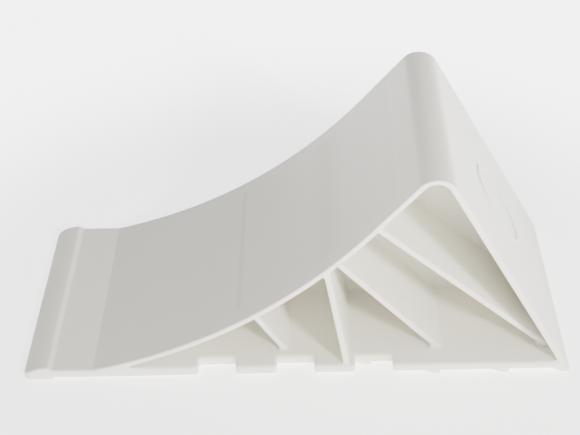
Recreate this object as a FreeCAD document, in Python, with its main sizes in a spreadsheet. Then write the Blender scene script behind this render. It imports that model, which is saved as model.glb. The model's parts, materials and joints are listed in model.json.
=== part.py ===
"""Moulded plastic wheel chock with a drive-on tongue.

The chock is one hollow moulding. A curved tread follows the wheel up to a
rounded crest, a straight rear wall comes down to a foot, and a notched base
plate closes the triangle. A web down the middle and a fan of ribs on each
side carry the load. Each wall is a body of its own, and they meet face to
face. X runs from the toe to the rear, Y across the width and Z up. The origin
is on the ground, at the middle of the length and of the width.
"""

import FreeCAD, Part
import math
import os
import Sketcher

doc = FreeCAD.newDocument("WheelChock")

# Driving dimensions, in millimetres and degrees.
SIZES = (
    ("length", 372.0),  # toe edge to the rear of the foot
    ("width", 165.0),
    ("tongue_gap", 1.3),  # ground to the underside of the tongue
    ("tongue_wall", 6.2),
    ("lip_length", 20.5),
    ("lip_ridge", 17.0),  # toe edge to the top of the lip's step
    ("lip_rise", 2.2),  # lip above the tongue
    ("lip_face", 4.0),  # height of the lip's front face
    ("lip_corner", 5.0),  # corner radius in plan
    ("wheel_radius", 360.0),
    ("wheel_setback", 33.4),  # wheel centre ahead of the toe edge
    ("tyre_squash", 1.9),  # how far the loaded tyre flattens
    ("tread_run", 43.6),  # straight top of the tread, up to the crest
    ("tread_wall", 3.5),
    ("crest_radius", 14.8),
    ("crest_hollow", 10.0),  # radius inside the crest
    ("rear_angle", 60.8),
    ("rear_wall", 4.2),
    ("foot_height", 3.8),
    ("foot_length", 12.5),
    ("foot_land", 5.0),
    ("base_top", 9.0),
    ("tip_opening", 1.8),  # height of the hollow at its tip
    ("web_wall", 3.6),
    ("notch_start", 120.3),  # toe edge to the first notch
    ("notch_length", 25.4),
    ("notch_pitch", 53.4),
    ("notch_depth", 10.0),
    ("notch_corner", 2.5),
    ("tooth_setback", 134.0),  # rear of the foot to the first tooth's step
    ("tooth_pitch", 46.5),
    ("tooth_length", 13.0),
    ("tooth_land", 4.5),
    ("tooth_relief", 0.3),  # tooth tip above the ground
    ("rib_root", 5.0),  # rib thickness at the web
    ("rib_edge", 4.0),  # rib thickness at its free edge
    ("rib_round", 0.9),
    ("rib_one_setback", 185.1),  # rear corner of the hollow to the foot
    ("rib_one_angle", 57.0),
    ("rib_one_inset", 16.0),
    ("rib_two_setback", 143.2),
    ("rib_two_angle", 80.6),
    ("rib_two_inset", 1.0),
    ("rib_three_setback", 80.0),
    ("rib_three_angle", 47.0),
    ("rib_three_inset", 16.0),
    ("rib_four_setback", 5.1),
    ("rib_four_angle", 40.7),
    ("rib_four_inset", 16.0),
    ("emblem_tall", 64.0),
    ("emblem_wide", 54.0),
    ("emblem_line", 2.0),
    ("emblem_rise", 0.8),
    ("emblem_share", 0.535),  # how far up the rear wall its middle is
    ("skin_round", 0.9),  # rounding of the outer skin's side edges
    ("floor_round", 1.4),  # rounding of the base plate's top edges
)

NOTCHES = 3
TEETH = 3
RIBS = ("one", "two", "three", "four")
SIDES = (("right", -1), ("left", 1))  # as seen from behind the toe

sheet = doc.addObject("Spreadsheet::Sheet", "Sizes")
for row, (alias, size) in enumerate(SIZES, 1):
    sheet.set(f"A{row}", alias)
    sheet.set(f"B{row}", str(size))
    sheet.setAlias(f"B{row}", alias)
doc.recompute()

layout = doc.addObject("App::VarSet", "Layout")


def derive(name, expression):
    """Name a value worked out from the driving dimensions."""
    layout.addProperty("App::PropertyFloat", name, "Layout")
    layout.setExpression(name, expression)
    return f"Layout.{name}"


def value(expression):
    """Number that an expression stands for now."""
    return float(sheet.evalExpression(expression))


# Wheel arc: the tread is a circle about the wheel's centre, then a tangent.
derive("wheel_x", "-Sizes.wheel_setback")
derive("wheel_z", "Sizes.wheel_radius - Sizes.tyre_squash")
derive("under_radius", "Sizes.wheel_radius + Sizes.tread_wall")
derive("tongue_top", "Sizes.tongue_gap + Sizes.tongue_wall")
doc.recompute()


def wheel_reach(radius, height):
    """X at which a circle about the wheel's centre is at a height."""
    return f"Layout.wheel_x + sqrt(({radius})^2 - (Layout.wheel_z - ({height}))^2)"


def wheel_height(radius, reach):
    """Height at which a circle about the wheel's centre is at an X."""
    return f"Layout.wheel_z - sqrt(({radius})^2 - (({reach}) - Layout.wheel_x)^2)"


derive("crease", wheel_reach("Sizes.wheel_radius", "Layout.tongue_top"))
doc.recompute()

# Crest centre: on a line inside the rear wall's outer face, and as far from the
# wheel's centre as a tangent of the straight run's length sets it.
derive("rear_reach", "Sizes.length - Sizes.crest_radius * sin(Sizes.rear_angle) - Layout.wheel_x")
derive("rear_drop", "Layout.wheel_z - Sizes.foot_height + Sizes.crest_radius * cos(Sizes.rear_angle)")
derive("crest_reach", "sqrt((Sizes.wheel_radius + Sizes.crest_radius)^2 + Sizes.tread_run^2)")
doc.recompute()
derive(
    "rear_along",
    "Layout.rear_reach * cos(Sizes.rear_angle) + Layout.rear_drop * sin(Sizes.rear_angle)",
)
doc.recompute()
derive(
    "rear_run",
    "Layout.rear_along - sqrt(Layout.rear_along^2 - Layout.rear_reach^2"
    " - Layout.rear_drop^2 + Layout.crest_reach^2)",
)
doc.recompute()
derive(
    "tread_angle",
    "(atan2(Layout.rear_reach - Layout.rear_run * cos(Sizes.rear_angle);"
    " Layout.rear_drop - Layout.rear_run * sin(Sizes.rear_angle))"
    " - atan(Sizes.tread_run / (Sizes.wheel_radius + Sizes.crest_radius))) / 1 deg",
)
doc.recompute()
derive("crease_under", wheel_height("Layout.under_radius", "Layout.crease"))
derive("cavity_start", wheel_reach("Layout.under_radius", "Sizes.base_top + Sizes.tip_opening"))
derive("tip_height", "Sizes.base_top + Sizes.tip_opening")
for name, radius in (("turn", "Sizes.wheel_radius"), ("turn_under", "Layout.under_radius")):
    derive(name + "_x", f"Layout.wheel_x + ({radius}) * sin(Layout.tread_angle)")
    derive(name + "_z", f"Layout.wheel_z - ({radius}) * cos(Layout.tread_angle)")
doc.recompute()


def derive_crest(name, tread_offset, rear_offset, radius):
    """Centre and tangent points of an arc between the tread and the rear wall.

    The arc lies under the tread's straight run, offset inwards by tread_offset,
    and under the rear wall's outer face, offset inwards by rear_offset.
    """
    sum_angle = "(Layout.tread_angle + Sizes.rear_angle)"
    reach = (
        "((Sizes.length - Layout.turn_x) * sin(Sizes.rear_angle)"
        " - (Layout.turn_z - Sizes.foot_height) * cos(Sizes.rear_angle))"
    )
    run = (
        f"({reach} + ({tread_offset} + {radius}) * cos{sum_angle}"
        f" - ({rear_offset} + {radius})) / sin{sum_angle}"
    )
    derive(name + "_run", run)
    doc.recompute()
    along = f"Layout.{name}_run"
    depth = f"({tread_offset} + {radius})"
    tread = "Layout.tread_angle"
    rear = "Sizes.rear_angle"
    derive(name + "_x", f"Layout.turn_x + {along} * cos({tread}) + {depth} * sin({tread})")
    derive(name + "_z", f"Layout.turn_z + {along} * sin({tread}) - {depth} * cos({tread})")
    doc.recompute()
    derive(name + "_front_x", f"Layout.{name}_x - {radius} * sin({tread})")
    derive(name + "_front_z", f"Layout.{name}_z + {radius} * cos({tread})")
    derive(name + "_back_x", f"Layout.{name}_x + {radius} * sin({rear})")
    derive(name + "_back_z", f"Layout.{name}_z + {radius} * cos({rear})")
    doc.recompute()


derive_crest("crest", "0", "0", "Sizes.crest_radius")
derive_crest("hollow", "Sizes.tread_wall", "Sizes.rear_wall", "Sizes.crest_hollow")
derive("front_x", "Layout.crest_front_x + Sizes.tread_wall * sin(Layout.tread_angle)")
derive("front_z", "Layout.crest_front_z - Sizes.tread_wall * cos(Layout.tread_angle)")
derive("back_x", "Layout.crest_back_x - Sizes.rear_wall * sin(Sizes.rear_angle)")
derive("back_z", "Layout.crest_back_z - Sizes.rear_wall * cos(Sizes.rear_angle)")
derive("rear_foot_x", "Sizes.length - Sizes.rear_wall / sin(Sizes.rear_angle)")
doc.recompute()
derive(
    "rear_floor_x",
    "Layout.rear_foot_x - (Sizes.base_top - Sizes.foot_height) / tan(Sizes.rear_angle)",
)
derive(
    "rise",
    "(Sizes.foot_height - Sizes.tongue_gap) / (Sizes.length - Layout.crease)",
)
doc.recompute()


def underside(reach):
    """Height of the base plate's sloping underside at an X."""
    return f"Sizes.tongue_gap + Layout.rise * (({reach}) - Layout.crease)"


def arc_between(start, end, radius, turn):
    """Minor arc from start to end, with its centre left (1) or right (-1)."""
    chord = end - start
    half = chord.Length / 2
    drop = math.sqrt(max(radius * radius - half * half, 0.0))
    left = FreeCAD.Vector(-chord.y, chord.x, 0) / chord.Length
    centre = (start + end) / 2 + left * (turn * drop)
    first, last = (start, end) if turn > 0 else (end, start)
    begin = math.atan2(first.y - centre.y, first.x - centre.x)
    finish = math.atan2(last.y - centre.y, last.x - centre.x)
    if finish < begin:
        finish += 2 * math.pi
    circle = Part.Circle(centre, FreeCAD.Vector(0, 0, 1), radius)
    return Part.ArcOfCircle(circle, begin, finish)


def draw(sketch, corners):
    """Add a closed outline whose corners and radii are bound to expressions.

    A corner is (x, y) for a straight run to the next one, or
    (x, y, radius, turn) for an arc to it.
    """
    first = sketch.GeometryCount
    spots = [FreeCAD.Vector(value(c[0]), value(c[1]), 0) for c in corners]
    ends = []
    for index, corner in enumerate(corners):
        here = spots[index]
        there = spots[(index + 1) % len(corners)]
        if len(corner) == 2:
            sketch.addGeometry(Part.LineSegment(here, there), False)
            ends.append((1, 2))
            continue
        radius, turn = corner[2:]
        sketch.addGeometry(arc_between(here, there, value(radius), turn), False)
        ends.append((1, 2) if turn > 0 else (2, 1))
    for index, corner in enumerate(corners):
        edge = first + index
        after = (index + 1) % len(corners)
        sketch.addConstraint(
            Sketcher.Constraint("Coincident", edge, ends[index][1], first + after, ends[after][0])
        )
        for kind, expression in zip(("DistanceX", "DistanceY"), corner[:2]):
            size = value(expression)
            rule = Sketcher.Constraint(kind, -1, 1, edge, ends[index][0], size)
            number = sketch.addConstraint(rule)
            sketch.setExpression(f"Constraints[{number}]", expression)
        if len(corner) > 2:
            rule = Sketcher.Constraint("Radius", edge, value(corner[2]))
            number = sketch.addConstraint(rule)
            sketch.setExpression(f"Constraints[{number}]", corner[2])


def add_body(name):
    """Body placed so that the middle of the length is at the origin."""
    body = doc.addObject("PartDesign::Body", name)
    body.Label = name
    body.setExpression("Placement.Base.x", "-Sizes.length / 2")
    return body


def add_sketch(body, role, name):
    """Sketch on one of the body's own origin planes."""
    plane = [item for item in body.Origin.OriginFeatures if item.Role == role][0]
    sketch = body.newObject("Sketcher::SketchObject", name)
    sketch.AttachmentSupport = [(plane, "")]
    sketch.MapMode = "FlatFace"
    return sketch


def add_pad(body, sketch, length):
    """Pad a side profile equally to both sides of the middle."""
    pad = body.newObject("PartDesign::Pad", body.Name + "_pad")
    pad.Profile = sketch
    pad.SideType = "Symmetric"
    pad.setExpression("Length", length)
    return pad


def side_wall(name, corners, across="Sizes.width"):
    """Wall that is a side profile carried across the chock."""
    body = add_body(name)
    sketch = add_sketch(body, "XZ_Plane", name + "_profile")
    draw(sketch, corners)
    add_pad(body, sketch, across)
    doc.recompute()
    return body


def round_edges(body, radius, chosen):
    """Fillet the edges of the body's solid that pass a test."""
    base = body.Tip
    names = [f"Edge{n}" for n, edge in enumerate(base.Shape.Edges, 1) if chosen(edge)]
    fillet = body.newObject("PartDesign::Fillet", body.Name + "_round")
    fillet.Base = (base, names)
    fillet.setExpression("Radius", radius)
    doc.recompute()
    return fillet


def spot(x, z):
    """Point of the side view, as a vector in the middle plane."""
    return FreeCAD.Vector(value(x), 0, value(z))


def skin_wire():
    """Outer skin in side view: tongue, tread, crest and rear wall."""
    lip_end = spot("Sizes.lip_length", "Layout.tongue_top")
    crease = spot("Layout.crease", "Layout.tongue_top")
    turn = spot("Layout.turn_x", "Layout.turn_z")
    front = spot("Layout.crest_front_x", "Layout.crest_front_z")
    back = spot("Layout.crest_back_x", "Layout.crest_back_z")
    foot = spot("Sizes.length", "Sizes.foot_height")
    wheel = spot("Layout.wheel_x", "Layout.wheel_z")
    crown = spot("Layout.crest_x", "Layout.crest_z")
    half_slope = math.radians(value("Layout.tread_angle")) / 2
    down = FreeCAD.Vector(math.sin(half_slope), 0, -math.cos(half_slope))
    middle = wheel + down * value("Sizes.wheel_radius")
    top = crown + FreeCAD.Vector(0, 0, value("Sizes.crest_radius"))
    return Part.Wire(
        [
            Part.LineSegment(lip_end, crease).toShape(),
            Part.Arc(crease, middle, turn).toShape(),
            Part.LineSegment(turn, front).toShape(),
            Part.Arc(front, top, back).toShape(),
            Part.LineSegment(back, foot).toShape(),
        ]
    )


skin = skin_wire()
NEAR = 0.01  # how close counts as touching, in millimetres


def at_side(point):
    """Whether a point lies on one of the chock's two side faces."""
    return abs(abs(point.y) - value("Sizes.width") / 2) < NEAR


def middle_of(edge):
    """Point halfway along an edge."""
    return edge.valueAt((edge.FirstParameter + edge.LastParameter) / 2)


def on_skin_edge(edge):
    """Side edge that runs along the outer skin."""
    middle = middle_of(edge)
    if not (at_side(middle) and all(at_side(vertex.Point) for vertex in edge.Vertexes)):
        return False
    flat = FreeCAD.Vector(middle.x, 0, middle.z)
    return skin.distToShape(Part.Vertex(flat))[0] < NEAR


nodes = []

# Toe lip: a low bar with a domed top that steps down to the tongue.
lip_top = "Layout.tongue_top + Sizes.lip_rise"
toe_lip = side_wall(
    "toe_lip",
    (
        ("0", "0"),
        ("Sizes.lip_length", "0"),
        ("Sizes.lip_length", "Layout.tongue_top"),
        ("Sizes.lip_ridge", lip_top, "Sizes.lip_ridge * 1.8", 1),
        ("0", "Sizes.lip_face"),
    ),
)
nodes.append(toe_lip)


def at_toe_corner(edge):
    """Upright edge at the front of the lip."""
    ends = [vertex.Point for vertex in edge.Vertexes]
    return all(abs(p.x) < NEAR for p in ends) and abs(ends[0].y - ends[-1].y) < NEAR


round_edges(toe_lip, "Sizes.lip_corner", at_toe_corner)

# Tongue: the flat plate that the wheel rolls onto.
nodes.append(
    side_wall(
        "tongue",
        (
            ("Sizes.lip_length", "Sizes.tongue_gap"),
            ("Layout.crease", "Sizes.tongue_gap"),
            ("Layout.crease", "Layout.tongue_top"),
            ("Sizes.lip_length", "Layout.tongue_top"),
        ),
    )
)

# Tread: an arc of the wheel's own radius, then a tangent up to the crest.
nodes.append(
    side_wall(
        "tread_plate",
        (
            ("Layout.crease", "Layout.crease_under", "Layout.under_radius", 1),
            ("Layout.turn_under_x", "Layout.turn_under_z"),
            ("Layout.front_x", "Layout.front_z"),
            ("Layout.crest_front_x", "Layout.crest_front_z"),
            ("Layout.turn_x", "Layout.turn_z", "Sizes.wheel_radius", -1),
            ("Layout.crease", "Layout.tongue_top"),
        ),
    )
)

# Crest: the rounded top that joins the tread to the rear wall.
nodes.append(
    side_wall(
        "crest",
        (
            ("Layout.front_x", "Layout.front_z"),
            ("Layout.hollow_front_x", "Layout.hollow_front_z", "Sizes.crest_hollow", -1),
            ("Layout.hollow_back_x", "Layout.hollow_back_z"),
            ("Layout.back_x", "Layout.back_z"),
            ("Layout.crest_back_x", "Layout.crest_back_z", "Sizes.crest_radius", 1),
            ("Layout.crest_front_x", "Layout.crest_front_z"),
        ),
    )
)

# Rear wall: flat, from the crest down to the foot.
nodes.append(
    side_wall(
        "rear_wall",
        (
            ("Layout.rear_foot_x", "Sizes.foot_height"),
            ("Sizes.length", "Sizes.foot_height"),
            ("Layout.crest_back_x", "Layout.crest_back_z"),
            ("Layout.back_x", "Layout.back_z"),
        ),
    )
)

for wall in nodes[1:]:
    round_edges(wall, "Sizes.skin_round", on_skin_edge)

# Rear foot: a ramped bar under the rear corner.
nodes.append(
    side_wall(
        "rear_foot",
        (
            (
                "Sizes.length - Sizes.foot_length",
                underside("Sizes.length - Sizes.foot_length"),
            ),
            ("Sizes.length - Sizes.foot_land", "0"),
            ("Sizes.length", "0"),
            ("Sizes.length", "Sizes.foot_height"),
        ),
    )
)

# Base plate: flat on top, with an underside that rises towards the rear.
base_plate = side_wall(
    "base_plate",
    (
        ("Layout.crease", "Sizes.tongue_gap"),
        ("Sizes.length", "Sizes.foot_height"),
        ("Layout.rear_foot_x", "Sizes.foot_height"),
        ("Layout.rear_floor_x", "Sizes.base_top"),
        ("Layout.cavity_start", "Sizes.base_top"),
        ("Layout.cavity_start", "Layout.tip_height", "Layout.under_radius", -1),
        ("Layout.crease", "Layout.crease_under"),
    ),
)
nodes.append(base_plate)


# Notches: both long edges of the base plate are bitten into, and the corners
# of the bites and of the tabs between them are rounded.
notch_sketch = add_sketch(base_plate, "XY_Plane", "notch_outline")
for sign in ("-", "+"):
    outside = f"{sign}(Sizes.width / 2 + Sizes.notch_corner)"
    bottom = f"{sign}(Sizes.width / 2 - Sizes.notch_depth)"
    for index in range(NOTCHES):
        near = f"Sizes.notch_start + {index} * Sizes.notch_pitch"
        far = f"{near} + Sizes.notch_length"
        draw(notch_sketch, ((near, outside), (near, bottom), (far, bottom), (far, outside)))
notches = base_plate.newObject("PartDesign::Pocket", "notches")
notches.Profile = notch_sketch
notches.SideType = "Symmetric"
notches.Type = "ThroughAll"
doc.recompute()


def at_notch_corner(edge):
    """Upright edge at a corner of a notch."""
    ends = [vertex.Point for vertex in edge.Vertexes]
    upright = abs(ends[0].x - ends[-1].x) < NEAR and abs(ends[0].y - ends[-1].y) < NEAR
    first = value("Sizes.notch_start") - NEAR
    steps = (NOTCHES - 1) * value("Sizes.notch_pitch") + value("Sizes.notch_length")
    return upright and first < ends[0].x < first + steps + 2 * NEAR


round_edges(base_plate, "Sizes.notch_corner", at_notch_corner)

def on_floor_edge(edge):
    """Top edge of the base plate's sides, notches included."""
    middle = middle_of(edge)
    top = value("Sizes.base_top")
    rim = value("Sizes.width") / 2 - value("Sizes.notch_depth")
    level = all(abs(vertex.Point.z - top) < NEAR for vertex in edge.Vertexes)
    return level and abs(middle.z - top) < NEAR and abs(middle.y) > rim - NEAR


round_edges(base_plate, "Sizes.floor_round", on_floor_edge)

def tooth_width(start, end):
    """Width of a tooth, which keeps between the notches where it meets them."""
    for index in range(NOTCHES):
        near = value(f"Sizes.notch_start + {index} * Sizes.notch_pitch")
        far = near + value("Sizes.notch_length")
        if value(start) < far and value(end) > near:
            return "Sizes.width - 2 * Sizes.notch_depth"
    return "Sizes.width"


# Grip teeth: ramps under the base plate with an upright step to the rear.
for index in range(TEETH):
    step = f"(Sizes.length - Sizes.tooth_setback + {index} * Sizes.tooth_pitch)"
    start = f"({step} - Sizes.tooth_length)"
    land = f"({step} - Sizes.tooth_land)"
    nodes.append(
        side_wall(
            f"grip_tooth_{index + 1}",
            (
                (start, underside(start)),
                (land, "Sizes.tooth_relief"),
                (step, "Sizes.tooth_relief"),
                (step, underside(step)),
            ),
            tooth_width(start, step),
        )
    )

# The hollow between the walls, as a solid that trims the web and the ribs.
hollow_outline = (
    ("Layout.cavity_start", "Sizes.base_top"),
    ("Layout.rear_floor_x", "Sizes.base_top"),
    ("Layout.hollow_back_x", "Layout.hollow_back_z", "Sizes.crest_hollow", 1),
    ("Layout.hollow_front_x", "Layout.hollow_front_z"),
    ("Layout.turn_under_x", "Layout.turn_under_z", "Layout.under_radius", -1),
    ("Layout.cavity_start", "Layout.tip_height"),
)
nodes.append(side_wall("centre_web", hollow_outline, "Sizes.web_wall"))
hollow = side_wall("hollow", hollow_outline)


def add_rib(side_name, sign, number, rib, others):
    """Rib from the web to its inset free edge, thinner towards that edge.

    The blank is a wedge along the rib's own slope. It is trimmed by the hollow,
    so that it ends on the tread and on the base plate, and by the other ribs
    where it runs into them. Its free edge is rounded.
    """
    label = f"{side_name}_rib_{number}"
    blank = doc.addObject("Part::Wedge", label + "_blank")
    web_face = "Sizes.web_wall / 2"
    free_face = f"Sizes.width / 2 - Sizes.rib_{rib}_inset"
    root = "Sizes.rib_root / 2"
    thin = "Sizes.rib_edge / 2"
    inner, outer = (web_face, free_face) if sign > 0 else (f"-({free_face})", f"-({web_face})")
    first, last = (root, thin) if sign > 0 else (thin, root)
    reach = "Sizes.length / 2"
    for name, expression in (
        ("Ymin", inner),
        ("Ymax", outer),
        ("Xmin", f"-({reach})"),
        ("Xmax", reach),
        ("X2min", f"-({reach})"),
        ("X2max", reach),
        ("Zmin", f"-{first}"),
        ("Zmax", first),
        ("Z2min", f"-{last}"),
        ("Z2max", last),
    ):
        blank.setExpression(name, expression)
    foot = f"Layout.rear_floor_x - Sizes.rib_{rib}_setback"
    blank.setExpression("Placement.Base.x", f"{foot} - Sizes.length / 2")
    blank.setExpression("Placement.Base.z", "Sizes.base_top")
    blank.Placement.Rotation.Axis = FreeCAD.Vector(0, 1, 0)
    blank.setExpression("Placement.Rotation.Angle", f"Sizes.rib_{rib}_angle")
    trimmed = doc.addObject("Part::MultiCommon", label + "_trimmed")
    trimmed.Shapes = [blank, hollow]
    doc.recompute()
    for other in others:
        if trimmed.Shape.common(other.Shape).Volume > 0:
            clear = doc.addObject("Part::Cut", f"{label}_clear_of_{other.Name}")
            clear.Base = trimmed
            clear.Tool = other
            trimmed = clear
            doc.recompute()
    limit = value(free_face)
    picked = []
    for index, edge in enumerate(trimmed.Shape.Edges, 1):
        ends = [vertex.Point for vertex in edge.Vertexes]
        free = all(abs(abs(p.y) - limit) < NEAR for p in ends)
        if free and edge.Length > 3 * value("Sizes.rib_root"):
            picked.append((index, value("Sizes.rib_round"), value("Sizes.rib_round")))
    rounded = doc.addObject("Part::Fillet", label)
    rounded.Base = trimmed
    rounded.Edges = picked
    rounded.Label = label
    doc.recompute()
    return rounded


for side_name, sign in SIDES:
    made = []
    for number, rib in reversed(list(enumerate(RIBS, 1))):
        made.append(add_rib(side_name, sign, number, rib, made))
    nodes.extend(made)

# Emblem: a plain raised oval ring on the rear wall's outer face.
derive(
    "emblem_height",
    "Sizes.foot_height + Sizes.emblem_share * (Layout.crest_back_z - Sizes.foot_height)",
)
doc.recompute()
ovals = []
for name, line in (("outer", "0"), ("inner", "Sizes.emblem_line")):
    oval = doc.addObject("Part::Ellipse", f"emblem_{name}_line")
    oval.setExpression("MajorRadius", f"Sizes.emblem_tall / 2 - {line}")
    oval.setExpression("MinorRadius", f"Sizes.emblem_wide / 2 - {line}")
    drop = "(Layout.emblem_height - Sizes.foot_height) / tan(Sizes.rear_angle)"
    oval.setExpression("Placement.Base.x", f"Sizes.length / 2 - {drop}")
    oval.setExpression("Placement.Base.z", "Layout.emblem_height")
    oval.Placement.Rotation.Axis = FreeCAD.Vector(0, 1, 0)
    oval.setExpression("Placement.Rotation.Angle", "Sizes.rear_angle")
    disc = doc.addObject("Part::Extrusion", f"emblem_{name}")
    disc.Base = oval
    disc.DirMode = "Normal"
    disc.Solid = True
    disc.setExpression("LengthFwd", "Sizes.emblem_rise")
    ovals.append(disc)
emblem = doc.addObject("Part::Cut", "emblem_ring")
emblem.Base, emblem.Tool = ovals
emblem.Label = "emblem_ring"
nodes.append(emblem)

doc.recompute()
for item in doc.Objects:
    if "Invalid" in item.State or "Error" in item.State:
        raise RuntimeError(f"{item.Name} failed: {item.State}")
for node in nodes:
    if node.Shape.isNull() or not node.Shape.isValid():
        raise RuntimeError(f"{node.Label} has no valid shape")

os.makedirs("parts", exist_ok=True)
for node in nodes:
    node.Shape.exportStep(f"parts/{node.Label}.step")
    print(f"{node.Label}: {node.Shape.Volume / 1000:.2f} cm3")
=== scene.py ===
import bpy
import json
import math
import numpy as np
from mathutils import Matrix, Vector

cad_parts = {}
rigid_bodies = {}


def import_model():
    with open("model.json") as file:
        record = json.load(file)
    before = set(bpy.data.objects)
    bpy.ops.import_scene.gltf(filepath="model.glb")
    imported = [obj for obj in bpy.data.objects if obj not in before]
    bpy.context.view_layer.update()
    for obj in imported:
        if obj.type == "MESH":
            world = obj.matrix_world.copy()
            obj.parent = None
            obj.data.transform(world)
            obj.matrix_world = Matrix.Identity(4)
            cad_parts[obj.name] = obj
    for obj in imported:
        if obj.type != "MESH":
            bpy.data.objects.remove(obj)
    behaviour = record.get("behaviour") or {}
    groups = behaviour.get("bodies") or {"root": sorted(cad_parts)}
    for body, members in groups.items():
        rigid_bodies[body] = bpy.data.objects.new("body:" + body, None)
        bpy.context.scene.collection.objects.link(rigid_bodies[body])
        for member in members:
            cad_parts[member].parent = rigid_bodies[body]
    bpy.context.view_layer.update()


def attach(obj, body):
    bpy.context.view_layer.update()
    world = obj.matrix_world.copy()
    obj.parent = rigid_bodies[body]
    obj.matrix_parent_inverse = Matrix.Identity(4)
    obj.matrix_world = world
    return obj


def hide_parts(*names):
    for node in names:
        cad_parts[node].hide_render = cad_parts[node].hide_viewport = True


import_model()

# Lengths are in millimetres and angles in degrees. x runs from the toe's edge
# to the rear, y across with 0 in the middle, z up from the ground.
chock = {
    "length": 372.0,
    "width": 165.0,
    "tongueGap": 1.3,
    "tongueTop": 7.5,
    "lipLength": 20.5,
    "lipRidge": 17.0,
    "lipRise": 2.2,
    "lipFace": 4.0,
    "lipCorner": 5.5,
    "wheelRadius": 360.0,
    "wheelSetback": 33.4,
    "wheelHeight": 358.1,
    "treadWall": 3.5,
    "treadRun": 43.6,
    "crestRadius": 14.8,
    "crestHollow": 10.0,
    "rearAngle": 60.8,
    "rearWall": 4.2,
    "footHeight": 3.8,
    "baseTop": 9.0,
    "tipOpening": 1.8,
    "webWall": 3.6,
}

half = chock["width"] / 2
millimetre = 0.001  # metres

edgeRound = 0.9  # outer skin's side edges
tongueRound = 1.4  # tongue's top side edges
heelRound = 2.4  # outer skin's side edges at the heel
rimRound = 0.5  # inner side edges of the walls
rootRound = 2.0  # coves where walls and ribs meet
sink = 1.2  # how far the web, the teeth and the foot reach into the walls
coveSink = 0.5  # how far a cove's hidden faces reach into the walls
leastRound = 0.05  # least width that a rounded end takes across
sharpAngle = 38  # edges that turn further than this stay sharp
quarter = np.radians(np.linspace(0, 90, 7))  # turns of a rounded edge


# Side-view geometry of the walls.
def unit(vector):
    # The vector divided by its length.
    return vector / np.linalg.norm(vector)


def sloping(angle):
    # Unit vector that rises to the rear at an angle.
    return np.array([math.cos(math.radians(angle)), math.sin(math.radians(angle))])


wheel = np.array([-chock["wheelSetback"], chock["wheelHeight"]])
underRadius = chock["wheelRadius"] + chock["treadWall"]
rearUp = sloping(180 - chock["rearAngle"])
rearOut = sloping(90 - chock["rearAngle"])
heel = np.array([chock["length"], chock["footHeight"]])


def crestCentre():
    # The centre keeps inside the rear wall's face by the crest's radius. It is
    # as far from the wheel's centre as a tangent of the straight run sets it.
    start = heel - rearOut * chock["crestRadius"]
    reach = math.hypot(chock["wheelRadius"] + chock["crestRadius"], chock["treadRun"])
    offset = start - wheel
    along = offset @ rearUp
    rest = offset @ offset - reach ** 2
    return start + rearUp * (-along - math.sqrt(along ** 2 - rest))


crown = crestCentre()
treadAngle = math.degrees(
    math.atan2(crown[0] - wheel[0], wheel[1] - crown[1])
    - math.atan(chock["treadRun"] / (chock["wheelRadius"] + chock["crestRadius"]))
)
treadUp = sloping(treadAngle)
treadOut = sloping(treadAngle + 90)


def wheelReach(radius, height):
    # x at which a circle about the wheel's centre is at a height.
    return wheel[0] + math.sqrt(radius ** 2 - (wheel[1] - height) ** 2)


def turning(centre, radius, first, last, count):
    # Points and outward normals of an arc between two angles.
    angles = np.radians(np.linspace(first, last, count))
    normals = np.stack([np.cos(angles), np.sin(angles)], axis=1)
    return centre + normals * radius, normals


def running(start, end, normal, count):
    # Points and normals of a straight run.
    share = np.linspace(0, 1, count)[:, None]
    return start + (end - start) * share, np.tile(normal, (count, 1))


crease = wheelReach(chock["wheelRadius"], chock["tongueTop"])
tipHeight = chock["baseTop"] + chock["tipOpening"]
tip = wheelReach(underRadius, tipHeight)
turnOut = wheel - treadOut * chock["wheelRadius"]
turnIn = wheel - treadOut * underRadius
crestFront = crown + treadOut * chock["crestRadius"]
crestBack = crown + rearOut * chock["crestRadius"]
frontIn = crestFront - treadOut * chock["treadWall"]
backIn = crestBack - rearOut * chock["rearWall"]


def hollowCentre():
    # Centre of the arc inside the crest, tangent to both inner faces.
    treadDepth = chock["treadWall"] + chock["crestHollow"]
    rearDepth = chock["rearWall"] + chock["crestHollow"]
    rows = np.array([treadOut, rearOut])
    sides = np.array([
        crestFront @ treadOut - treadDepth,
        crestBack @ rearOut - rearDepth,
    ])
    return np.linalg.solve(rows, sides)


hollow = hollowCentre()
heelIn = heel - np.array([chock["rearWall"] / math.sin(math.radians(chock["rearAngle"])), 0])
floorRear = heelIn + rearUp * (chock["baseTop"] - chock["footHeight"]) / rearUp[1]
slope = (chock["footHeight"] - chock["tongueGap"]) / (chock["length"] - crease)


def underside(x):
    # Height of the base plate's underside, an even climb from tongue to foot.
    return chock["tongueGap"] + slope * (x - crease)


# Mesh building.
def outward(verts, faces):
    # Turns the faces round if the closed mesh they make is inside out, where
    # the sum of corner times cross product over the triangles is negative.
    volume = 0.0
    for size in {len(face) for face in faces}:
        corners = verts[[face for face in faces if len(face) == size]]
        fan = np.cross(corners[:, 1:-1] - corners[:, :1], corners[:, 2:] - corners[:, :1])
        volume += (fan * corners[:, :1]).sum()
    return faces if volume > 0 else [list(face)[::-1] for face in faces]


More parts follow.
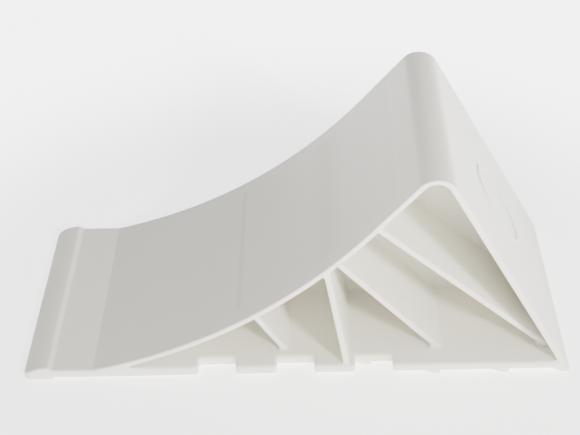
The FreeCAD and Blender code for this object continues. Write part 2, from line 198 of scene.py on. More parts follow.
def addPiece(name, shells, replaced=()):
    # Each shell is (verts, faces), in millimetres from the toe.
    allVerts = []
    allFaces = []
    start = 0
    for verts, faces in shells:
        allFaces += [[corner + start for corner in face] for face in outward(verts, faces)]
        allVerts.append(verts)
        start += len(verts)
    place = np.concatenate(allVerts)
    place[:, 0] -= chock["length"] / 2
    mesh = bpy.data.meshes.new(name)
    mesh.from_pydata((place * millimetre).tolist(), [], allFaces)
    mesh.polygons.foreach_set("use_smooth", [len(face) == 4 for face in allFaces])
    mesh.set_sharp_from_angle(angle=math.radians(sharpAngle))
    piece = bpy.data.objects.new(name, mesh)
    bpy.context.scene.collection.objects.link(piece)
    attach(piece, "root")
    if replaced:
        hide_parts(*replaced)


def gridFaces(rows, columns):
    # Quads between neighbouring rows of points, where each row is a ring.
    r = np.arange(rows - 1)[:, None] * columns
    c = np.arange(columns)[None, :]
    after = (c + 1) % columns
    quads = np.stack([r + c, r + after, r + columns + after, r + columns + c], axis=-1)
    return quads.reshape(-1, 4).tolist()


def path(*runs):
    # Joins runs of (points, normals) end to end, without doubled points.
    points = [runs[0][0]] + [run[0][1:] for run in runs[1:]]
    normals = [runs[0][1]] + [run[1][1:] for run in runs[1:]]
    return np.concatenate(points), np.concatenate(normals)


def plate(outer, inner, outerRound, innerRound):
    # Side-view outline of a wall, whose outer and inner points stand in pairs.
    count = len(outer[0])
    points = np.concatenate([outer[0], inner[0][::-1]])
    normals = np.concatenate([outer[1], inner[1][::-1]])
    rounds = np.concatenate([
        np.broadcast_to(outerRound, count),
        np.broadcast_to(innerRound, count)[::-1],
    ])
    last = 2 * count - 1
    caps = [[k, k + 1, last - k - 1, last - k] for k in range(count - 1)]
    return points, normals, rounds, caps


def carry(shape, low, high, ends=(True, True), thinner=0.0):
    # Carries a side-view outline across from y = low to y = high. At a rounded
    # end each point is drawn in along its normal as a quarter circle. "thinner"
    # draws it in evenly towards the high end.
    points, normals, rounds, caps = shape
    moving = (rounds > 0)[:, None]
    way = math.copysign(1, high - low)
    rows = []
    sides = ((low, 1, ends[0], quarter[::-1]), (high, -1, ends[1], quarter))
    for end, sign, rounded, turns in sides:
        for turn in turns if rounded else turns[:1]:
            reach = 1 - math.sin(turn) if rounded else 0.0
            pull = 1 - math.cos(turn) if rounded else 0.0
            across = end + sign * way * np.maximum(rounds, leastRound) * reach
            inset = rounds * pull + thinner * abs(across - low) / abs(high - low)
            side = points - normals * inset[:, None] * moving
            rows.append(np.stack([side[:, 0], across, side[:, 1]], axis=1))
    verts = np.concatenate(rows)
    faces = gridFaces(len(rows), len(points))
    last = (len(rows) - 1) * len(points)
    faces += [face[::-1] for face in caps]
    faces += [[last + corner for corner in face] for face in caps]
    return verts, faces


def cornered(corners, radius, count=5):
    # Outline of a polygon whose corners are arcs tangent to both sides, the
    # normals along it and its one cap.
    corners = np.array(corners, dtype=float)
    earlier = np.roll(corners, 1, axis=0)
    later = np.roll(corners, -1, axis=0)
    points = []
    normals = []
    winding = math.copysign(1, np.cross(corners, later).sum())
    for before, here, after in zip(earlier, corners, later):
        back = unit(before - here)
        ahead = unit(after - here)
        bend = math.acos(np.clip(back @ ahead, -1, 1))
        reach = radius / math.tan(bend / 2)
        centre = here + unit(back + ahead) * radius / math.sin(bend / 2)
        first = unit(here + back * reach - centre)
        last = unit(here + ahead * reach - centre)
        share = np.linspace(0, 1, count)[:, None]
        radial = first * (1 - share) + last * share
        radial /= np.linalg.norm(radial, axis=1)[:, None]
        points.append(centre + radial * radius)
        turn = back[0] * ahead[1] - back[1] * ahead[0]
        normals.append(radial if turn * winding < 0 else -radial)
    points = np.concatenate(points)
    return points, np.concatenate(normals), [list(range(len(points)))]


def cove(corner, first, second, radius, count=7):
    # Points from one face to the other on an arc that fills their corner, and
    # the normals, which point at the arc's centre. first and second are unit
    # vectors along the faces, away from the corner. All may be rows of many.
    cosine = (first * second).sum(axis=-1, keepdims=True)
    bend = np.arccos(np.clip(cosine, -1, 1))
    middle = first + second
    middle /= np.linalg.norm(middle, axis=-1, keepdims=True)
    centre = corner + middle * radius / np.sin(bend / 2)
    reach = radius / np.tan(bend / 2)
    start = corner + first * reach - centre
    finish = corner + second * reach - centre
    opening = math.pi - bend
    share = np.linspace(0, 1, count)[:, None]
    start, finish, opening = start[..., None, :], finish[..., None, :], opening[..., None, :]
    arc = np.sin((1 - share) * opening) * start + np.sin(share * opening) * finish
    arc = arc / np.sin(opening)
    return centre[..., None, :] + arc, -arc / radius


def coveStrip(corners, first, second, radius):
    # Closed strip that fills the corner between two faces along a line.
    corners = np.array(corners, dtype=float)
    first = np.broadcast_to(first, corners.shape)
    second = np.broadcast_to(second, corners.shape)
    arc, _ = cove(corners, first, second, radius)
    buried = corners - (first + second) * coveSink
    beside = arc[:, 0] - second * coveSink
    behind = arc[:, -1] - first * coveSink
    ring = np.concatenate([buried[:, None], beside[:, None], arc, behind[:, None]], axis=1)
    count = ring.shape[1]
    faces = gridFaces(len(corners), count)
    last = (len(corners) - 1) * count
    faces += [list(range(count))[::-1], [last + k for k in range(count)]]
    return ring.reshape(-1, 3), faces


# Tongue, tread, crest and rear wall.
wallSteps = {"tongue": 24, "tread": 220, "straight": 40, "crest": 49, "crestEnd": 5, "rear": 80}
fade = {"rim": 6.0, "tongue": 25.0, "heel": 14.0}  # lengths over which a rounding changes


def alongTongue(height, normal):
    # Level run from the lip to the crease.
    start = np.array([chock["lipLength"], height])
    return running(start, np.array([crease, height]), normal, wallSteps["tongue"])


def slopeAt(radius, x):
    # Slope of a circle about the wheel's centre, below it.
    return math.degrees(math.asin((x - wheel[0]) / radius))


def alongTread(radius):
    # Arc about the wheel's centre from the crease to where the straight starts.
    first = slopeAt(radius, crease) - 90
    return turning(wheel, radius, first, treadAngle - 90, wallSteps["tread"])


def flipped(run):
    # The same points with their normals the other way.
    return run[0], -run[1]


tongueTop = alongTongue(chock["tongueTop"], (0, 1))
tongueUnder = alongTongue(chock["tongueGap"], (0, -1))
tongueShape = plate(tongueTop, tongueUnder, tongueRound, rimRound)
addPiece("tongue_plate", [carry(tongueShape, -half, half)], ["tongue"])

treadOuter = path(
    flipped(alongTread(chock["wheelRadius"])),
    running(turnOut, crestFront, treadOut, wallSteps["straight"]),
)
treadInner = path(
    alongTread(underRadius),
    running(turnIn, frontIn, -treadOut, wallSteps["straight"]),
)
rearEnd = 90 - chock["rearAngle"]
crestOuter = turning(crown, chock["crestRadius"], treadAngle + 90, rearEnd, wallSteps["crest"])
hollowFront = hollow + treadOut * chock["crestHollow"]
hollowBack = hollow + rearOut * chock["crestHollow"]
hollowSteps = wallSteps["crest"] - 2 * (wallSteps["crestEnd"] - 1)
crestInner = path(
    running(frontIn, hollowFront, -treadOut, wallSteps["crestEnd"]),
    flipped(turning(hollow, chock["crestHollow"], treadAngle + 90, rearEnd, hollowSteps)),
    running(hollowBack, backIn, -rearOut, wallSteps["crestEnd"]),
)
rearOuter = running(crestBack, heel, rearOut, wallSteps["rear"])
rearInner = running(backIn, heelIn, -rearOut, wallSteps["rear"])

# Roundings of the side edges. The tread's start as the tongue's, and its inner
# ones only past the tip, where the hollow begins. The heel's are the largest.
toTip = np.clip((tip - treadOuter[0][:, 0]) / fade["tongue"], 0, 1)
treadRounds = edgeRound + (tongueRound - edgeRound) * toTip
innerRounds = np.clip((treadInner[0][:, 0] - tip) / fade["rim"], 0, 1) * rimRound
toHeel = np.clip(1 - (rearOuter[0][:, 1] - heel[1]) / fade["heel"], 0, 1)
rearRounds = edgeRound + (heelRound - edgeRound) * toHeel ** 2
skinOuter = path(treadOuter, crestOuter, rearOuter)
skinInner = path(treadInner, crestInner, rearInner)
skinShape = plate(
    skinOuter,
    skinInner,
    np.concatenate([treadRounds, np.full(wallSteps["crest"] - 1, edgeRound), rearRounds[1:]]),
    np.concatenate([innerRounds, np.full(len(skinInner[0]) - len(innerRounds), rimRound)]),
)
addPiece("wall_skin", [carry(skinShape, -half, half)], ["tread_plate", "crest", "rear_wall"])
print("walls built")


# Base plate: a wedge under the front of the tread, then a notched slab.
notch = {"count": 3, "start": 120.3, "length": 25.4, "pitch": 53.4, "depth": 10.0, "corner": 2.5}
basePlate = {
    "topRound": 2.1,
    "bottomRound": 0.5,
    "topFlat": 0.3,  # from the rounding's end to the cap
    "bottomFlat": 0.8,
    "fade": 12.0,  # length from the tip over which the top rounding grows
    "leastShare": 0.03,  # of that rounding, at the tip
    "edgeSteps": 12,
    "cornerSteps": 7,
    "wedgeSteps": 26,
}


def notchedEdge():
    # Plan of one long edge from the tip of the hollow to the rear wall: straight
    # runs, with a quarter circle at each of a notch's four corners.
    corner = notch["corner"]
    floor = half - notch["depth"]
    straight = basePlate["edgeSteps"]
    bend = basePlate["cornerSteps"]
    runs = []
    start = np.array([tip, half])
    for index in range(notch["count"]):
        near = notch["start"] + index * notch["pitch"]
        far = near + notch["length"]
        runs += [
            running(start, np.array([near - corner, half]), (0, 1), straight),
            turning(np.array([near - corner, half - corner]), corner, 90, 0, bend),
            flipped(turning(np.array([near + corner, floor + corner]), corner, 180, 270, bend)),
            flipped(turning(np.array([far - corner, floor + corner]), corner, 270, 360, bend)),
            turning(np.array([far + corner, half - corner]), corner, 180, 90, bend),
        ]
        start = np.array([far + corner, half])
    runs.append(running(start, np.array([floorRear[0], half]), (0, 1), straight))
    points = np.concatenate([run[0] for run in runs])
    normals = np.concatenate([run[1] for run in runs])
    # Neighbouring runs share an end point, which is kept once.
    stride = np.linalg.norm(np.diff(points, axis=0, prepend=points[:1] - 1), axis=1)
    fresh = stride > 1e-6
    return points[fresh], normals[fresh]


def slab():
    # Rings of the plan, each drawn in along its normals and lifted, which go
    # round a quarter circle at the bottom edge and another at the top.
    edge, edgeNormals = notchedEdge()
    mirror = np.array([1, -1])
    plan = np.concatenate([edge, edge[::-1] * mirror])
    normals = np.concatenate([edgeNormals, edgeNormals[::-1] * mirror])
    growing = np.clip((plan[:, 0] - tip) / basePlate["fade"], basePlate["leastShare"], 1)
    topRound = growing * basePlate["topRound"]
    bottomRound = basePlate["bottomRound"]
    # The rear end leans with the rear wall's inner face.
    leaning = (plan[:, 0] > floorRear[0] - 0.01) * -rearUp[0] / rearUp[1]
    rings = []

    def ring(inset, height):
        side = plan - normals * np.reshape(inset, (-1, 1))
        rear = side[:, 0] + leaning * (chock["baseTop"] - height)
        rings.append(np.stack([rear, side[:, 1], np.broadcast_to(height, len(side))], axis=1))

    bottom = underside(plan[:, 0])
    ring(bottomRound + basePlate["bottomFlat"], bottom)
    for turn in quarter:
        ring(bottomRound * (1 - math.sin(turn)), bottom + bottomRound * (1 - math.cos(turn)))
    for turn in quarter:
        ring(topRound * (1 - math.cos(turn)), chock["baseTop"] - topRound * (1 - math.sin(turn)))
    ring(topRound + basePlate["topFlat"], chock["baseTop"])
    count = len(plan)
    faces = gridFaces(len(rings), count)
    last = (len(rings) - 1) * count
    faces += [list(range(count))[::-1], [last + k for k in range(count)]]
    return np.concatenate(rings), faces


wedgeFirst = slopeAt(underRadius, crease) - 90
wedgeLast = slopeAt(underRadius, tip) - 90
wedgeTop = turning(wheel, underRadius, wedgeFirst, wedgeLast, basePlate["wedgeSteps"])
wedgeStart = np.array([crease, chock["tongueGap"]])
wedgeEnd = np.array([tip, underside(tip)])
wedgeBottom = running(wedgeStart, wedgeEnd, (0, -1), basePlate["wedgeSteps"])
wedge = carry(plate(wedgeTop, wedgeBottom, 0.0, rimRound), -half, half)
addPiece("base_slab", [wedge, slab()], ["base_plate"])
print("base built")


# Toe lip: domed, rounded in plan at the front, with a step down to the tongue.
lipForm = {
    "round": 1.3,  # top edges of the front and sides
    "fullness": 0.9,  # of the dome, where 1 is a plain sine
    "rows": 60,  # from the middle to a side
    "columns": 48,  # from front to rear
    "gather": 1.6,  # draws the columns towards the front
}


def lipTop(x):
    # Height along x: a sine climb to the ridge, then a smooth step down.
    ridge = chock["lipRidge"]
    crownHeight = chock["tongueTop"] + chock["lipRise"]
    share = np.clip(x / ridge, 0, 1)
    climb = np.sin(share * math.pi / 2) ** lipForm["fullness"]
    dome = chock["lipFace"] + (crownHeight - chock["lipFace"]) * climb
    fall = np.clip((x - ridge) / (chock["lipLength"] - ridge), 0, 1)
    step = chock["lipRise"] * (3 * fall ** 2 - 2 * fall ** 3)
    return dome - step


def lip():
    # Grid of rows across and columns to the rear. Its top drops by a quarter
    # circle near the edge of its plan, and its underside is flat.
    acrossHalf = np.sin(np.radians(np.linspace(0, 90, lipForm["rows"]))) * half
    across = np.concatenate([-acrossHalf[::-1], acrossHalf[1:]])
    share = np.linspace(0, 1, lipForm["columns"]) ** lipForm["gather"]
    radius = chock["lipCorner"]
    beyond = np.clip(np.abs(across) - (half - radius), 0, radius)
    front = radius - np.sqrt(radius ** 2 - beyond ** 2)
    end = chock["lipLength"]
    x = front[:, None] + share[None, :] * (end - front[:, None])
    y = np.broadcast_to(across[:, None], x.shape)
    # Distance in from the plan's edge: beside the straight sides, or from the
    # corner's arc.
    sideGap = half - np.abs(y)
    inCorner = (sideGap < radius) & (x < radius)
    arcGap = radius - np.hypot(radius - sideGap, radius - x)
    gap = np.where(inCorner, arcGap, np.minimum(sideGap, x))
    edge = lipForm["round"]
    short = edge - np.clip(gap, 0, edge)
    top = lipTop(x) - (edge - np.sqrt(np.clip(edge ** 2 - short ** 2, 0, None)))
    upper = np.stack([x, y, top], axis=-1)
    lower = np.stack([x, y, np.zeros_like(x)], axis=-1)
    rows, columns = x.shape
    ring = np.concatenate([upper, lower[:, ::-1]], axis=1)
    faces = gridFaces(rows, 2 * columns)
    caps = [[k, k + 1, 2 * columns - 2 - k, 2 * columns - 1 - k] for k in range(columns - 1)]
    last = (rows - 1) * 2 * columns
    faces += [face[::-1] for face in caps] + [[last + c for c in face] for face in caps]
    return ring.reshape(-1, 3), faces


addPiece("toe_bar", [lip()], ["toe_lip"])


# Grip teeth and rear foot: ramped bars whose tops reach into the base plate.
bar = {"round": 0.4, "lead": 2.0}  # lead: how far the hidden top leans forward
teeth = {
    "count": 3,
    "setback": 134.0,
    "pitch": 46.5,
    "length": 13.0,
    "land": 4.5,
    "relief": 0.3,
    "draft": 0.4,  # lean of the steep face
    "sideGap": 0.2,
}
foot = {"length": 12.5, "land": 5.0, "sideGap": 0.4}


def barShape(corners):
    # Outline with rounded corners, for carry to take across.
    points, normals, caps = cornered(corners, bar["round"])
    return points, normals, np.full(len(points), bar["round"]), caps


for index in range(teeth["count"]):
    step = chock["length"] - teeth["setback"] + index * teeth["pitch"]
    start = step - teeth["length"]
    corners = (
        (start - bar["lead"], underside(start) + sink),
        (start, underside(start)),
        (step - teeth["land"], teeth["relief"]),
        (step, teeth["relief"]),
        (step + teeth["draft"], underside(step)),
        (step, underside(step) + sink),
    )
    # The first tooth lies between notches, so it ends at their floors.
    reach = (half - notch["depth"] if index == 0 else half) - teeth["sideGap"]
    tooth = carry(barShape(corners), -reach, reach)
    addPiece(f"tooth_bar_{index + 1}", [tooth], [f"grip_tooth_{index + 1}"])
footStart = chock["length"] - foot["length"]
footCorners = (
    (footStart - bar["lead"], underside(footStart) + sink),
    (footStart, underside(footStart)),
    (chock["length"] - foot["land"], 0),
    (chock["length"], 0),
    (chock["length"], chock["footHeight"]),
    (chock["length"] - bar["lead"], chock["footHeight"] + sink),
)
footReach = half - foot["sideGap"]
addPiece("foot_bar", [carry(barShape(footCorners), -footReach, footReach)], ["rear_foot"])
print("lip, teeth and foot built")


# Web: fills the hollow's side view in the middle.
hollowSide = {"arc": 160, "straight": 30, "crest": 30, "rear": 90}  # points along each run


def hollowPath(grow):
    # Side view of the hollow, moved out by "grow", from the tip round to the
    # floor's rear end, with normals that point into the hollow.
    first = slopeAt(underRadius, tip) - 90
    front = treadOut * grow
    back = rearOut * grow
    inside = chock["crestHollow"] + grow
    return path(
        turning(wheel, underRadius - grow, first, treadAngle - 90, hollowSide["arc"]),
        running(turnIn + front, hollowFront + front, -treadOut, hollowSide["straight"]),
        flipped(turning(hollow, inside, treadAngle + 90, rearEnd, hollowSide["crest"])),
        running(hollowBack + back, floorRear + back, -rearOut, hollowSide["rear"]),
    )


webSide = hollowPath(sink)[0]
webBottom = chock["baseTop"] - sink
webPoints = np.concatenate([webSide, [[webSide[-1, 0], webBottom], [tip - sink, webBottom]]])
webCount = len(webPoints)
webShape = webPoints, np.zeros_like(webPoints), np.zeros(webCount), [list(range(webCount))]
webHalf = chock["webWall"] / 2
addPiece("web_wall", [carry(webShape, -webHalf, webHalf, ends=(False, False))], ["centre_web"])


# Ribs: each runs up its own slope from the base plate to the tread.
rib = {
    "root": 5.0,  # thickness at the web
    "edge": 4.0,  # thickness at the free edge
    "round": 1.3,
    "sink": 2.6,  # how far its ends reach into the walls
    "steps": 30,
}
ribs = (
    {"setback": 185.1, "angle": 57.0, "inset": 16.0},
    {"setback": 143.2, "angle": 80.6, "inset": 1.0},
    {"setback": 80.0, "angle": 47.0, "inset": 16.0},
    {"setback": 5.1, "angle": 40.7, "inset": 16.0},
)


def ribLine(spec, offset):
    # Ends of a line along the rib, moved off its middle plane by "offset", its
    # two directions and the tread's where it ends. It meets the tread's circle,
    # or the straight above where the circle has ended.
    up = sloping(180 - spec["angle"])
    out = sloping(90 - spec["angle"])
    origin = np.array([floorRear[0] - spec["setback"], chock["baseTop"]]) + out * offset
    first = origin + up * (chock["baseTop"] - origin[1]) / up[1]
    away = first - wheel
    along = away @ up
    second = first + up * (-along - math.sqrt(along ** 2 - away @ away + underRadius ** 2))
    rising = unit(np.array([-(second - wheel)[1], (second - wheel)[0]]))
    if (second - turnIn) @ treadUp > 0:
        second = first + up * ((turnIn - first) @ treadOut) / (up @ treadOut)
        rising = treadUp
    return first, second, up, out, rising


def ribShape(spec):
    # Side view of a rib: a cove at each corner, straight sides between them and
    # ends that reach into the walls.
    thick = rib["root"] / 2
    lowUp, highUp, up, _, risingUp = ribLine(spec, thick)
    lowDown, highDown, _, _, risingDown = ribLine(spec, -thick)
    ahead = np.array([1.0, 0.0])
    runs = []
    for corner, first, second in (
        (lowUp, ahead, up),
        (highUp, -up, risingUp),
        (highDown, -risingDown, -up),
        (lowDown, up, -ahead),
    ):
        runs.append(cove(corner, first, second, rootRound))
    points = []
    normals = []
    rounds = []
    for index, (arc, away) in enumerate(runs):
        nextArc, nextAway = runs[(index + 1) % len(runs)]
        points.append(arc)
        normals.append(away)
        rounds.append(np.full(len(arc), rib["round"]))
        if index in (1, 3):
            ends = [arc[-1] - away[-1] * rib["sink"], nextArc[0] - nextAway[0] * rib["sink"]]
            points.append(np.array(ends))
            normals.append(np.zeros((2, 2)))
            rounds.append(np.zeros(2))
        else:
            side, sideNormals = running(arc[-1], nextArc[0], away[-1], rib["steps"])
            points.append(side[1:-1])
            normals.append(sideNormals[1:-1])
            rounds.append(np.full(len(side) - 2, rib["round"]))
    points = np.concatenate(points)
    return points, np.concatenate(normals), np.concatenate(rounds), [list(range(len(points)))]


for sideName, sign in (("right", -1), ("left", 1)):
    for number, spec in enumerate(ribs, 1):
        free = half - spec["inset"]
        shell = carry(
            ribShape(spec),
            sign * (webHalf - sink),
            sign * free,
            ends=(False, True),
            thinner=(rib["root"] - rib["edge"]) / 2,
        )
        addPiece(f"{sideName}_rib_{number}_moulded", [shell], [f"{sideName}_rib_{number}"])
print("web and ribs built")


# Coves: small concave fillets round the web and where the ribs meet it, and
# along the floor at the rear wall and at the tip.
coves = {
    "tipRound": 0.8,
    "overrun": 0.5,  # how far a rib's cove runs on into the walls
    "sideGap": 0.6,  # from a floor cove's end to the side
}


def raised(points, across):
    # Side-view points in space, at one distance across.
    return np.stack([points[:, 0], np.full(len(points), across), points[:, 1]], axis=1)


def sideCoves(sign):
    # Cove strips on one side: round the hollow's outline and along the floor
    # against the web, down both faces of each rib, and across the floor.
    face = sign * webHalf
    side = sign * (half - coves["sideGap"])
    floor = chock["baseTop"]
    outwardY = np.array([0.0, sign, 0.0])
    upwards = np.array([0.0, 0.0, 1.0])
    rearwards = np.array([1.0, 0.0, 0.0])
    rearSlope = raised(rearUp[None, :], 0.0)[0]
    loop, loopNormals = hollowPath(0.0)
    shells = [coveStrip(raised(loop, face), outwardY, raised(loopNormals, 0.0), rootRound)]
    floorLine = [[tip, face, floor], [floorRear[0], face, floor]]
    shells.append(coveStrip(floorLine, outwardY, upwards, rootRound))
    for spec in ribs:
        for way in (1, -1):
            low, high, up, out, _ = ribLine(spec, way * rib["root"] / 2)
            beyond = up * coves["overrun"]
            line = raised(np.array([low - beyond, high + beyond]), face)
            away = raised(way * out[None, :], 0.0)[0]
            shells.append(coveStrip(line, outwardY, away, rootRound))
    rearLine = [[floorRear[0], face, floor], [floorRear[0], side, floor]]
    shells.append(coveStrip(rearLine, -rearwards, rearSlope, rootRound))
    tipLine = [[tip, face, floor], [tip, side, floor]]
    shells.append(coveStrip(tipLine, rearwards, upwards, coves["tipRound"]))
    return shells


for sideName, sign in (("right", -1), ("left", 1)):
    addPiece(f"{sideName}_coves", sideCoves(sign))


# Oval ring on the rear wall, and the small marks that moulding left there.
emblem = {
    "tall": 64.0,
    "wide": 54.0,
    "line": 3.0,
    "rise": 1.0,
    "middle": 90.0,  # up the slope from the heel
    "buried": 0.3,
    "fullness": 0.7,  # of the ridge, where 1 is a plain sine
}
mouldMarks = (
    {"across": 46.5, "climb": 160.0, "long": 2.4, "wide": 2.4, "rise": 0.35},
    {"across": 55.5, "climb": 120.0, "long": 2.4, "wide": 2.4, "rise": 0.35},
    {"across": 37.5, "climb": 140.0, "long": 7.0, "wide": 1.2, "rise": 0.3},
)


def onRearWall(across, climb, lift):
    # Points across the rear wall, up its slope from the heel, and off its face.
    base = heel + climb[..., None] * rearUp + lift[..., None] * rearOut
    return np.stack([base[..., 0], across, base[..., 1]], axis=-1)


def ovalRing():
    # A half-round ridge carried round an ellipse, with its feet in the wall.
    around = np.radians(np.arange(0, 360, 2.5))[:, None]
    section = np.radians(np.linspace(0, 180, 9))[None, :]
    offset = (np.cos(section) - 1) * emblem["line"] / 2
    ridge = emblem["rise"] * np.sin(section) ** emblem["fullness"]
    lift = np.where(ridge < 1e-6, -emblem["buried"], ridge) + 0 * around
    across = (emblem["wide"] / 2 + offset) * np.sin(around)
    climb = emblem["middle"] + (emblem["tall"] / 2 + offset) * np.cos(around)
    rows, columns = across.shape
    faces = gridFaces(rows, columns)
    last = (rows - 1) * columns
    faces += [[last + c, last + (c + 1) % columns, (c + 1) % columns, c] for c in range(columns)]
    return onRearWall(across, climb, lift).reshape(-1, 3), faces


def dimple(across, climb, long, wide, rise):
    # Low dome with an oval plan, closed by a flat underside in the wall.
    around = np.radians(np.arange(0, 360, 15))[None, :]
    level = np.radians(np.array([0, 20, 45, 70, 88]))[:, None]
    out = np.cos(level)
    place = onRearWall(
        across + wide / 2 * out * np.sin(around),
        climb + long / 2 * out * np.cos(around),
        rise * np.sin(level) + 0 * around,
    )
    rows, columns = place.shape[:2]
    faces = gridFaces(rows, columns)
    last = (rows - 1) * columns
    faces += [list(range(columns))[::-1], [last + k for k in range(columns)]]
    return place.reshape(-1, 3), faces


addPiece("emblem_oval", [ovalRing()], ["emblem_ring"])
addPiece("mould_marks", [dimple(**mark) for mark in mouldMarks])
print("coves and marks built")


# Materials. Shader maths is written as expressions on wrapped sockets.
class Term:
    def __init__(self, graph, socket):
        self.graph = graph
        self.socket = socket

    def combine(self, operation, first, second):
        return self.graph.node("ShaderNodeMath", {0: first, 1: second}, operation=operation)

    def __add__(self, other):
        return self.combine("ADD", self, other)

    def __radd__(self, other):
        return self.combine("ADD", other, self)

    def __sub__(self, other):
        return self.combine("SUBTRACT", self, other)

    def __rsub__(self, other):
        return self.combine("SUBTRACT", other, self)

    def __mul__(self, other):
        return self.combine("MULTIPLY", self, other)

    def __rmul__(self, other):
        return self.combine("MULTIPLY", other, self)

    def __truediv__(self, other):
        return self.combine("DIVIDE", self, other)

    def __pow__(self, other):
        return self.combine("POWER", self, other)


class Graph:
    def __init__(self, name):
        self.material = bpy.data.materials.new(name)
        self.material.use_nodes = True
        self.tree = self.material.node_tree
        self.surface = self.tree.nodes["Principled BSDF"]

    def put(self, socket, given):
        if isinstance(given, Term):
            self.tree.links.new(given.socket, socket)
        else:
            socket.default_value = given

    def node(self, kind, inputs, output=0, **settings):
        made = self.tree.nodes.new(kind)
        for name, setting in settings.items():
            setattr(made, name, setting)
        for key, given in inputs.items():
            self.put(made.inputs[key], given)
        return Term(self, made.outputs[output])

    def noise(self, place, scale, detail, roughness=0.5):
        inputs = {"Vector": place, "Scale": scale, "Detail": detail, "Roughness": roughness}
        return self.node("ShaderNodeTexNoise", inputs)

    def mixed(self, share, first, second):
        # From the first colour to the second, where either may be a link.
        pair = [given if isinstance(given, Term) else (*given, 1) for given in (first, second)]
        inputs = {0: share, 6: pair[0], 7: pair[1]}
        return self.node("ShaderNodeMix", inputs, output=2, data_type="RGBA")

    def smooth(self, position, low, high):
        # 0 below low, 1 above high, and a smooth step between.
        limits = {0: position, 1: low, 2: high}
        return self.node("ShaderNodeMapRange", limits, interpolation_type="SMOOTHSTEP")

    def bell(self, position, middle, width):
        # 1 at the middle, falling smoothly to 0 a few widths away.
        away = (position - middle) / width
        return self.node("ShaderNodeMath", {0: -1.0 * away * away}, operation="EXPONENT")

    def within(self, position, low, high, soft):
        # 1 between low and high, with soft ends.
        rise = self.smooth(position, low - soft, low)
        return rise * (1.0 - self.smooth(position, high, high + soft))


def ribTop(spec):
    # x at which a rib's middle line meets the tread.
    return ribLine(spec, 0.0)[1][0]


def mouldedPlastic(spec):
    graph = Graph("moulded_plastic_satin")
    place = graph.node("ShaderNodeTexCoord", {}, output=3)
    x, y, z = (
        graph.node("ShaderNodeSeparateXYZ", {0: place}, output=axis) * (1 / millimetre)
        for axis in range(3)
    )
    x = x + chock["length"] / 2
    # Sink marks: the tread dips a little above each rib's root, and is painted darker there as
    # shade of the dips.
    arc = (chock["wheelRadius"] ** 2 - (x - wheel[0]) * (x - wheel[0])) ** 0.5
    onTread = graph.within(z - (wheel[1] - arc), *spec["skin"])
    lines = [
        graph.bell(x, ribTop(spot) + mark["shift"], mark["width"]) * mark["depth"]
        for spot, mark in zip(ribs, spec["sinks"])
    ]
    sinkShadeAndTreadTone = sum(lines[1:], lines[0])
    span = half - ribs[0]["inset"]
    betweenSides = graph.within(y, -span, span, spec["sideSoft"])
    behindCrease = graph.within(x, crease, chock["length"], spec["creaseSoft"])
    # The sink marks' painted shade, plus an even darkening of the whole tread, on the tread
    # only.
    sinkShadeAndTreadTone = (sinkShadeAndTreadTone * betweenSides + spec["treadDarkening"] * behindCrease) * onTread
    cloud = graph.noise(place, **spec["cloud"])
    mottle = graph.noise(place, **spec["mottle"])
    grain = graph.noise(place, **spec["grain"])
    ripple = graph.noise(place, **spec["ripple"])
    blend = cloud * spec["cloudShare"] + mottle * (1 - spec["cloudShare"])
    # Mix towards the dark tone: painted shade in the sink marks, and the tread's even darkening.
    tone = graph.mixed(sinkShadeAndTreadTone, graph.mixed(blend, spec["cool"], spec["warm"]), spec["sinkShadeAndTreadTone"])
    graph.put(graph.surface.inputs["Base Color"], tone)
    uneven = (mottle - 0.5) * spec["roughnessSpread"]
    graph.put(graph.surface.inputs["Roughness"], spec["roughness"] + uneven)
    graph.surface.inputs["IOR"].default_value = spec["ior"]
    height = ripple * spec["rippleHeight"] + grain * spec["grainHeight"] - sinkShadeAndTreadTone * spec["dip"]
    relief = {"Strength": 1.0, "Distance": millimetre, "Height": height}
    bump = graph.node("ShaderNodeBump", relief)
    graph.put(graph.surface.inputs["Normal"], bump)
    return graph.material


plasticLook = {
    "cool": (0.85, 0.835, 0.75),
    "warm": (0.90, 0.87, 0.77),
    # dark tone of the sink marks' painted shade and of the tread's darkening
    "sinkShadeAndTreadTone": (0.63, 0.585, 0.5),
    "roughness": 0.44,
    "roughnessSpread": 0.16,
    "ior": 1.49,
    "cloud": {"scale": 9.0, "detail": 3.0},
    "mottle": {"scale": 55.0, "detail": 4.0, "roughness": 0.6},
    "cloudShare": 0.6,  # of the mix of both that turns cool to warm
    "ripple": {"scale": 26.0, "detail": 1.0},
    "rippleHeight": 0.16,
    "grain": {"scale": 1400.0, "detail": 2.0},
    "grainHeight": 0.012,
    "dip": 0.25,  # depth of a full sink mark
    "treadDarkening": 0.16,  # how far the whole tread goes over to the dark tone, which darkens and warms it evenly
    "skin": (-1.2, 6.0, 0.5),  # heights about the tread that count as on it, and softness
    "sideSoft": 6.0,
    "creaseSoft": 1.0,
    # per rib: shift and width of its sink mark, and depth, which sets both the dip and its
    # painted shade
    "sinks": (
        {"shift": -5.5, "width": 1.6, "depth": 0.34},
        {"shift": -1.0, "width": 6.0, "depth": 0.16},
        {"shift": 2.0, "width": 7.0, "depth": 0.12},
        {"shift": 0.0, "width": 6.0, "depth": 0.10},
    ),
}
plastic = mouldedPlastic(plasticLook)
for piece in bpy.data.objects:
    if piece.type == "MESH":
        if not piece.material_slots:
            piece.data.materials.append(plastic)
        for slot in piece.material_slots:
            slot.material = plastic
print("plastic on every piece")


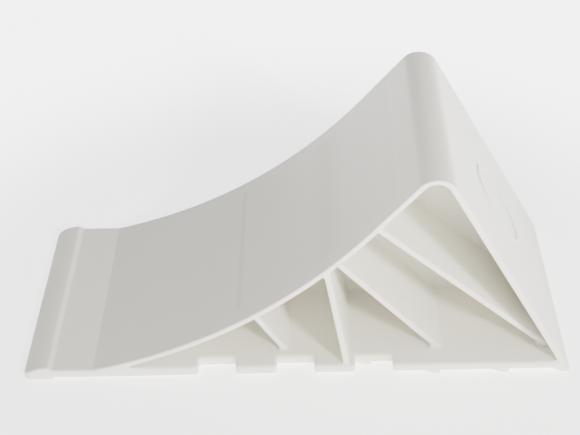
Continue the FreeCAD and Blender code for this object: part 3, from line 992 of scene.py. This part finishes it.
# Camera, floor and lights.
view = {
    "place": (0.0160, -0.7394, 0.6043),  # metres
    "heading": -1.407,  # clockwise from +y
    "pitch": 35.665,  # below the horizon
    "roll": -1.779,
    "lens": 80.69,
    "sensor": 36.0,
}
studio = {
    "floor": {
        "color": (0.93, 0.93, 0.925),
        "roughness": 0.9,
        "specular": 0.1,
        "glow": 5.0,
        "paintedShadowGlow": 0.5,  # share of the glow left in the painted shadow near the object
        # the painted shadow fades out between these distances from the middle, in metres
        "near": 0.2,
        "far": 0.42,
        "reach": 4.0,
    },
    "sky": {"color": (0.98, 0.99, 1.0), "bright": 0.5},
    "aim": (0.0, 0.0, 0.06),
    "lights": {
        "top": {
            "from": (0.15, -0.1, 1.0), "distance": 1.8, "size": (1.2, 1.2),
            "color": (0.97, 0.99, 1.0), "bright": 0.24,
        },
        "back": {
            "from": (0.3, 0.75, 0.6), "distance": 2.0, "size": (1.6, 0.7),
            "color": (1.0, 1.0, 1.0), "bright": 0.22,
        },
        "key": {
            "from": (0.5, -0.74, 0.42), "distance": 2.2, "size": (0.28, 0.28),
            "color": (1.0, 0.985, 0.955), "bright": 1.35,
        },
    },
}


def addCamera(spec):
    heading = math.radians(spec["heading"])
    pitch = math.radians(spec["pitch"])
    forward = Vector((
        math.sin(heading) * math.cos(pitch),
        math.cos(heading) * math.cos(pitch),
        -math.sin(pitch),
    ))
    level = forward.cross(Vector((0, 0, 1))).normalized()
    upright = level.cross(forward)
    roll = math.radians(spec["roll"])
    right = level * math.cos(roll) + upright * math.sin(roll)
    up = upright * math.cos(roll) - level * math.sin(roll)
    camera = bpy.data.objects.new("camera", bpy.data.cameras.new("camera"))
    camera.data.lens = spec["lens"]
    camera.data.sensor_width = spec["sensor"]
    turn = Matrix((right, up, -forward)).transposed().to_4x4()
    camera.matrix_world = Matrix.Translation(spec["place"]) @ turn
    bpy.context.scene.collection.objects.link(camera)
    bpy.context.scene.camera = camera


def addFloor(spec):
    graph = Graph("floor_paper")
    graph.surface.inputs["Base Color"].default_value = (*spec["color"], 1)
    graph.surface.inputs["Roughness"].default_value = spec["roughness"]
    graph.surface.inputs["Specular IOR Level"].default_value = spec["specular"]
    # The paper glows as if lit from below, and less near the object, which paints a soft shadow
    # round it.
    place = graph.node("ShaderNodeTexCoord", {}, output=3)
    away = graph.node("ShaderNodeVectorMath", {0: place}, output=1, operation="LENGTH")
    share = graph.smooth(away, spec["near"], spec["far"])
    paintedShadowGlow = tuple(channel * spec["paintedShadowGlow"] for channel in spec["color"])
    graph.put(graph.surface.inputs["Emission Color"], graph.mixed(share, paintedShadowGlow, spec["color"]))
    graph.surface.inputs["Emission Strength"].default_value = spec["glow"]
    reach = spec["reach"]
    mesh = bpy.data.meshes.new("studio_floor")
    corners = [(-reach, -reach, 0), (reach, -reach, 0), (reach, reach, 0), (-reach, reach, 0)]
    mesh.from_pydata(corners, [], [(0, 1, 2, 3)])
    mesh.materials.append(graph.material)
    floor = bpy.data.objects.new("studio_floor", mesh)
    bpy.context.scene.collection.objects.link(floor)


def addLight(name, spec, aim):
    light = bpy.data.lights.new(name, "AREA")
    light.shape = "RECTANGLE"
    light.size = spec["size"][0]
    light.size_y = spec["size"][1]
    light.color = spec["color"]
    toward = Vector(spec["from"]).normalized()
    distance = spec["distance"]
    # Power that gives a white face turned to the lamp the wanted brightness.
    light.energy = spec["bright"] * math.pi ** 2 * distance ** 2
    lamp = bpy.data.objects.new(name, light)
    lamp.location = Vector(aim) + toward * distance
    lamp.rotation_euler = toward.to_track_quat("Z", "Y").to_euler()
    bpy.context.scene.collection.objects.link(lamp)


def addSky(spec):
    world = bpy.data.worlds.new("studio")
    bpy.context.scene.world = world
    world.use_nodes = True
    background = world.node_tree.nodes["Background"]
    background.inputs["Color"].default_value = (*spec["color"], 1)
    background.inputs["Strength"].default_value = spec["bright"]


addCamera(view)
addFloor(studio["floor"])
addSky(studio["sky"])
for name, spec in studio["lights"].items():
    addLight(name, spec, studio["aim"])
print("camera, floor and lights placed")
